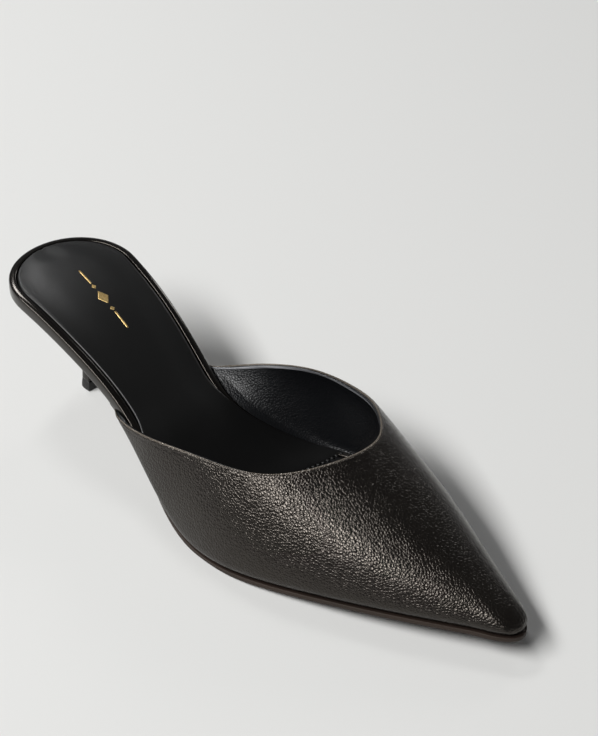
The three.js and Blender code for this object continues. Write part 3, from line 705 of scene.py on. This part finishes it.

# %% [markdown]
# ### The lining
# The lining is a second sheet inside the vamp. Its edge is folded too, and sits a hair
# lower than the vamp's, so that from outside only the vamp shows. Across the opening one sees
# its fold as a thin pale line, partly a painted highlight. After lasting, whatever of a lining
# stands proud of the vamp is trimmed off level with the topline, and so it is here.

# %% the lining
LINING = 0.8  # mm thick
LINING_DEPTH = 0.95  # mm, its outer face under the vamp's
LINING_DROP = 0.5  # mm, its edge below the vamp's
LINING_BEAD = 0.4  # mm, how far its fold stands out towards the foot
LINING_BEAD_DOWN, LINING_BEAD_WIDTH = 1.25, 0.35  # mm, the fold's middle below the edge
BEAD_GROWS = (90.0, 104.0)  # it grows from nothing at the wings' ends
PAINTED_BEAD_HIGHLIGHT = 0.28  # mm, width of the pale highlight painted along the fold


def lining_detail(points, run):
    """The lining's own fold is a low ridge just under its edge."""
    grown = ease(*BEAD_GROWS, points[..., 0])
    return -LINING_BEAD * grown * np.exp(-(((run - LINING_BEAD_DOWN) / LINING_BEAD_WIDTH) ** 2))


def trim_to_cut(bm):
    """Presses whatever stands above the topline down to it."""
    for vert in bm.verts:
        x, y, z = vert.co / MM
        over = float(above_topline(np.array([x - cad_lo.x / MM, y - LONG_AXIS_SIDE, z])))
        vert.co.z -= max(0.0, over) * MM


lining_mesh = sheet_on_last(LINING_DEPTH, LINING_DROP, lining_detail, LINING_BEAD_DOWN, PAINTED_BEAD_HIGHLIGHT)
thicken(lining_mesh, LINING)
trim_to_cut(lining_mesh)
lining = make_piece("vamp_lining", lining_mesh, lining_leather)
subdivide(lining)

# %% [markdown]
# ## The insole, the sole and the heel
# These pieces already have their right shape in the frame, so each is a copy of its solid and
# not made anew. The insole is a board of pressed fibre wrapped in the upper's calf; its
# rounded edge shows all round the open back. The front sock is a thin sheet into the toe. The
# outsole is a sheet of leather as thin as a coin, and under the vamp only its inked edge shows.
# The heel is a moulded block with calf glued round it, and the top piece is the rubber pad it
# stands on. A copy is cleaned first: its triangles are loose, so doubled corners are merged and
# pairs of triangles joined to quads. Sharp edges are held by a crease, and subdivision then
# rounds everything else. A harder crease suits the pieces that are cut or moulded, a softer one
# those that are wrapped.

# %% rounded copies
JOIN_ANGLE = math.radians(35)  # triangles flatter than this to each other make a quad
JOIN_SHAPE = math.radians(100)  # how far from a rectangle that quad may be
HELD_ANGLE = math.radians(35)  # edges sharper than this are held
COPY_LEVELS = 2


def copy_of(node, name, material, crease):
    bm = bmesh.new()
    bm.from_mesh(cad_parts[node].data)
    bmesh.ops.remove_doubles(bm, verts=bm.verts, dist=SEAM * MM)
    bmesh.ops.join_triangles(
        bm, faces=bm.faces, angle_face_threshold=JOIN_ANGLE, angle_shape_threshold=JOIN_SHAPE
    )
    bm.normal_update()
    held = bm.edges.layers.float.new("crease_edge")
    for edge in bm.edges:
        if len(edge.link_faces) == 2 and edge.calc_face_angle(0) > HELD_ANGLE:
            edge[held] = crease
    subdivide(make_piece(name, bm, material, [node]), COPY_LEVELS)


copy_of("insole", "wrapped_insole", wrap_leather, crease=0.5)
copy_of("sock_front", "front_sock", front_leather, crease=0.5)
copy_of("outsole", "outsole_edge", sole_leather, crease=0.8)
copy_of("heel", "covered_heel", heel_leather, crease=0.7)
copy_of("top_piece", "heel_top_piece", top_rubber, crease=0.8)

# %% [markdown]
# ## The padded sock
# The sock is a sheet of soft nappa over thin foam, glued to the board. It fills the space
# inside the wrapped rim, and under the upper it spreads out over the rim as far as the lining.
# Puffy cushions are best made by cloth simulation, but this pad is under two millimetres thick
# and glued flat, so it has no creases to form: it starts as a grid again. The columns follow
# the shoe's length and all meet at the back of the heel, and the rows crowd together at the
# edges, where the pad is rounded.

# %% sizes of the sock
RIM_WIDTH = 3.4  # the wrapped rim that stays bare behind the upper
SOCK_SEAM = 0.3  # between the rim and the sock
SOCK_SPREAD = (94, 112)  # where it spreads out over the rim
SPREAD_INSET = 1.0  # from the board's edge, once it has spread
BALL_LINE = 138.5  # the sock ends at the ball
BALL_SLANT = 7.0  # its end lies this much further forward on the medial side
BOARD_END = 246.0
EDGE_HEIGHT, TOE_EDGE_HEIGHT = 5.0, 2.6  # the wrapped board's thickness at the back and the toe
SOCK_THICK = 1.4
SOCK_ROUND = 0.9  # radius of the pad's edge
SOCK_LIFT = 0.12  # its edge above the rim at the open back
SOCK_OVER_RIM = 0.65  # its edge above the rim where it lies over the rim
SOCK_SOFT_EDGE = 0.6  # there the rounding is less deep, as a share
SOCK_CROWN = 0.7  # the pad's middle above its edge
CROWN_POWER, CROWN_RUN = 0.7, 14.0  # how flat the crown is, and how far in it is full
RIM_CLEAR = 0.08  # where it lies over the rim it stays this far off it
RIM_MARGIN = 0.2  # and it starts to lie over it this far inside the rim
SOCK_LEAST = 0.2  # it is nowhere thinner
print("the sock:", SOCK_THICK, "mm thick, and its crown", SOCK_CROWN, "mm high")

# %% the sock's outline
def rim_top(x):
    """Height of the wrapped rim's top: the board is skived thin towards the toe."""
    return board_height(x) + lerp(EDGE_HEIGHT, TOE_EDGE_HEIGHT, ease(BALL_LINE, BOARD_END, x))


def spread(x):
    """How far the sock has spread out over the rim at x, from 0 to 1."""
    return ease(*SOCK_SPREAD, x)


def sock_inset(x):
    return lerp(RIM_WIDTH + SOCK_SEAM, SPREAD_INSET, spread(x))


sock_edge = {side: board_edge(side, lambda x: -sock_inset(x)) for side in (-1, 1)}


def front_line(across):
    return BALL_LINE + BALL_SLANT * np.sin(np.pi / 2 * np.clip(across, -1, 1))


print("sock ends", front_line(-1).round(1), "to", front_line(1).round(1), "mm from the back")

# %% the sock's surface
def sock_point(along, across):
    """Plan place of the sock, and how far in from its edge that is."""
    back_x = sock_edge[-1][0, 0]
    x = back_x + (front_line(across) - back_x) * (1 - np.cos(np.pi / 2 * along))
    lateral = np.interp(x, *sock_edge[-1])
    medial = np.interp(x, *sock_edge[1])
    y = lerp(lateral, medial, (across + 1) / 2)
    from_sides = np.minimum(y - lateral, medial - y)
    from_ends = np.minimum(front_line(across) - x, x - back_x + np.abs(y) * 0.5)
    return x, y, np.maximum(np.minimum(from_sides, from_ends), 0)


def sock_top(x, inside, across):
    """Height of the pad's upper face: a rounded edge and a low crown."""
    edge = SOCK_ROUND - np.minimum(inside, SOCK_ROUND)
    drop = SOCK_ROUND - np.sqrt(SOCK_ROUND**2 - edge**2)
    crown = SOCK_CROWN * np.cos(np.pi / 2 * across) ** CROWN_POWER * ease(0, CROWN_RUN, inside)
    lift = lerp(SOCK_LIFT, SOCK_OVER_RIM, spread(x))
    return rim_top(x) + lift - drop * lerp(1.0, SOCK_SOFT_EDGE, spread(x)) + crown


print("pad's middle above the rim:", round(float(sock_top(60.0, 20.0, 0.0) - rim_top(60.0)), 2), "mm")

# %% [markdown]
# The grid is first laid out as the pad's underside. Extruding it makes the upper face with its
# walls in one step, and each new corner is then lifted to the height worked out for its place.

# %% the padded sock
SOCK_COLUMNS, SOCK_ROWS = 64, 32


def plan_place(vert):
    return round(vert.co.x, 7), round(vert.co.y, 7)


sock_bm = bmesh.new()
bmesh.ops.create_grid(sock_bm, x_segments=SOCK_COLUMNS, y_segments=SOCK_ROWS, size=1.0)
tops = {}
for vert in sock_bm.verts:
    across = math.sin(math.pi / 2 * vert.co.y)
    x, y, inside = (float(v) for v in sock_point((vert.co.x + 1) / 2, across))
    top = float(sock_top(x, inside, across))
    on_rim = sock_inset(x) + inside < RIM_WIDTH + RIM_MARGIN
    under = float(rim_top(x)) + RIM_CLEAR if on_rim else top - SOCK_THICK
    vert.co = to_frame(np.array([x, y, min(under, top - SOCK_LEAST)]))
    tops[plan_place(vert)] = top * MM
grown = bmesh.ops.extrude_face_region(sock_bm, geom=sock_bm.faces[:])
for vert in grown["geom"]:
    if isinstance(vert, bmesh.types.BMVert):
        vert.co.z = tops[plan_place(vert)]
bmesh.ops.remove_doubles(sock_bm, verts=sock_bm.verts, dist=SEAM * MM)
bmesh.ops.recalc_face_normals(sock_bm, faces=sock_bm.faces)
sock_tree = BVHTree.FromBMesh(sock_bm)
sock = make_piece("padded_sock", sock_bm, sock_leather, ["sock"])
subdivide(sock)

# %% [markdown]
# ### The pinked front edge
# Where the sock ends under the vamp its edge is pinked, cut to small teeth so that it lies flat
# and shows no hard line. The teeth could be cut out of the sock, but that would spoil its even
# grid, so each tooth is a low three-sided prism set against the edge.

# %% the pinked edge
PINK_PITCH = 2.2
TOOTH_FOOT, TOOTH_TOP = 0.56, 0.5  # a tooth's radius below and above, as a share of the pitch
TOOTH_THICK = 0.5
TOOTH_FORWARD = 0.25  # ahead of the sock's edge
TOOTH_SINK = 0.05  # into the leather below


def teeth():
    bm = bmesh.new()
    lateral, medial = (float(np.interp(front_line(s), *sock_edge[s])) for s in (-1, 1))
    count = int((medial - lateral) / PINK_PITCH)
    for n in range(count):
        across = (n + 0.5) / count * 2 - 1
        x, y = float(front_line(across)), lerp(lateral, medial, (across + 1) / 2)
        made = bmesh.ops.create_cone(
            bm, cap_ends=True, segments=3, radius1=PINK_PITCH * TOOTH_FOOT * MM,
            radius2=PINK_PITCH * TOOTH_TOP * MM, depth=TOOTH_THICK * MM,
        )["verts"]
        bmesh.ops.rotate(bm, verts=made, matrix=Matrix.Rotation(math.radians(-90), 3, "Z"))
        spot = to_frame(np.array([x + TOOTH_FORWARD, y, float(rim_top(x)) - TOOTH_SINK]))
        bmesh.ops.translate(bm, verts=made, vec=Vector(spot))
    print(count, "teeth,", PINK_PITCH, "mm apart")
    return bm


make_piece("pinked_edge", teeth(), sock_leather)

# %% [markdown]
# ### The foil ornament
# On the heel a plain ornament is pressed into the leather: a lozenge between two dots and two
# bars. Each is a small flat grid. A ray sent straight down from each of its corners finds the
# sock, so the foil follows the pad's curve a tenth of a millimetre above it.

# %% the foil ornament
FOIL_LIFT = 0.1
FOIL_THICK = 0.05
FOIL_CUTS = 10
ABOVE_SOCK = 120.0  # height the rays start from
FOIL_FROM, FOIL_TO = (26.4, 1.5), (63.0, -4.0)
# Each row: place along the ornament, length, width, lozenge or bar.
FOIL_PIECES = (
    (0.13, 9.5, 0.75, False),
    (0.31, 2.6, 2.0, True),
    (0.50, 8.0, 4.6, True),
    (0.69, 2.6, 2.0, True),
    (0.87, 9.5, 0.75, False),
)


def on_sock(x, y):
    """The sock's surface above a place in the shoe's own millimetres."""
    start = Vector(to_frame(np.array([x, y, ABOVE_SOCK])))
    return sock_tree.ray_cast(start, Vector((0, 0, -1)))[0]


def foil_shape(bm, middle, length, width, lozenge, turn):
    """A bar or lozenge pressed on the sock, with all its points let down onto the leather."""
    made = bmesh.ops.create_grid(
        bm, x_segments=FOIL_CUTS, y_segments=FOIL_CUTS if lozenge else 1, size=0.5
    )["verts"]
    if lozenge:
        bmesh.ops.rotate(bm, verts=made, matrix=Matrix.Rotation(math.radians(45), 3, "Z"))
        bmesh.ops.scale(bm, verts=made, vec=Vector((math.sqrt(0.5), math.sqrt(0.5), 1)))
    bmesh.ops.scale(bm, verts=made, vec=Vector((length, width, 1)))
    bmesh.ops.rotate(bm, verts=made, matrix=Matrix.Rotation(turn, 3, "Z"))
    for vert in made:
        spot = on_sock(middle[0] + vert.co.x, middle[1] + vert.co.y)
        vert.co = spot + Vector((0, 0, FOIL_LIFT * MM))


foil_bm = bmesh.new()
foil_turn = math.atan2(FOIL_TO[1] - FOIL_FROM[1], FOIL_TO[0] - FOIL_FROM[0])
for share, length, width, lozenge in FOIL_PIECES:
    middle = (lerp(FOIL_FROM[0], FOIL_TO[0], share), lerp(FOIL_FROM[1], FOIL_TO[1], share))
    foil_shape(foil_bm, middle, length, width, lozenge, foil_turn)
bmesh.ops.recalc_face_normals(foil_bm, faces=foil_bm.faces)
bmesh.ops.solidify(foil_bm, geom=foil_bm.faces[:], thickness=FOIL_THICK * MM)
make_piece("foil_ornament", foil_bm, foil)

# %% [markdown]
# ## The floor
# A plain, wide and pale studio floor: matt painted board, which takes soft shadows and shows
# next to no reflection. It is so wide that its edge is never seen.

# %% the floor
FLOOR_REACH = 8.0  # metres each way


def floor_material():
    material, tree = new_material("pale_floor")
    shader = add(tree, "ShaderNodeBsdfPrincipled",
                 {"Base Color": linear("#dcdcda"), "Roughness": 0.9, "Specular IOR Level": 0.1})
    finish_material(tree, shader)
    return material


floor_bm = bmesh.new()
bmesh.ops.create_grid(floor_bm, x_segments=1, y_segments=1, size=FLOOR_REACH)
floor_mesh = bpy.data.meshes.new("floor")
floor_bm.to_mesh(floor_mesh)
floor_bm.free()
floor_mesh.materials.append(floor_material())
floor = bpy.data.objects.new("floor", floor_mesh)
bpy.context.collection.objects.link(floor)
print("floor:", 2 * FLOOR_REACH, "m wide")

# %% [markdown]
# ## The light
# Black leather shows hardly any colour of its own: one sees the room in it. So the room is a
# soft grey that is palest low down and dark overhead, which leaves the upward faces black. One
# large, long soft box stands high on the shoe's outer side and draws the broad highlight down
# the vamp. Two small ones, behind the heel and low on the inner side, draw the thin bright
# lines along the edges that face away from it.

# %% the room
ROOM_STRENGTH = 0.42

world = bpy.data.worlds.new("room")
world.use_nodes = True
room = world.node_tree
heading = add(room, "ShaderNodeTexCoord").outputs["Generated"]
up = add(room, "ShaderNodeSeparateXYZ", {"Vector": heading}).outputs["Z"]
glow = ramp(room, up, [(0.0, "#e6e7ea"), (0.35, "#9d9ea0"), (0.8, "#3e3e3f")])
room.links.new(glow, room.nodes["Background"].inputs["Color"])
room.nodes["Background"].inputs["Strength"].default_value = ROOM_STRENGTH
bpy.context.scene.world = world
print("room strength:", ROOM_STRENGTH)

# %% the soft boxes
# Each row: azimuth and elevation in degrees, distance, width and height in metres, watts.
SOFT_BOXES = {
    "key": (-24, 50, 2.6, 2.7, 0.58, 88),
    "side": (-110, 45, 2.0, 0.4, 0.3, 6),
    "back": (-158, 27, 2.2, 0.4, 0.4, 2.6),
}


def soft_box(name, azimuth, elevation, distance, width, height, watts):
    """A soft box facing the shoe. Azimuth 0 is on the outer side, 90 beyond the toe."""
    a, e = math.radians(azimuth), math.radians(elevation)
    out = Vector((math.sin(a) * math.cos(e), -math.cos(a) * math.cos(e), math.sin(e)))
    light = bpy.data.lights.new(name, "AREA")
    light.shape = "RECTANGLE"
    light.size, light.size_y = width, height
    light.energy = watts
    box = bpy.data.objects.new(name, light)
    facing = out.to_track_quat("Z", "Y").to_matrix().to_4x4()
    box.matrix_world = Matrix.Translation(out * distance) @ facing
    bpy.context.collection.objects.link(box)


for name, row in SOFT_BOXES.items():
    soft_box(name, *row)
print("soft boxes:", ", ".join(SOFT_BOXES))
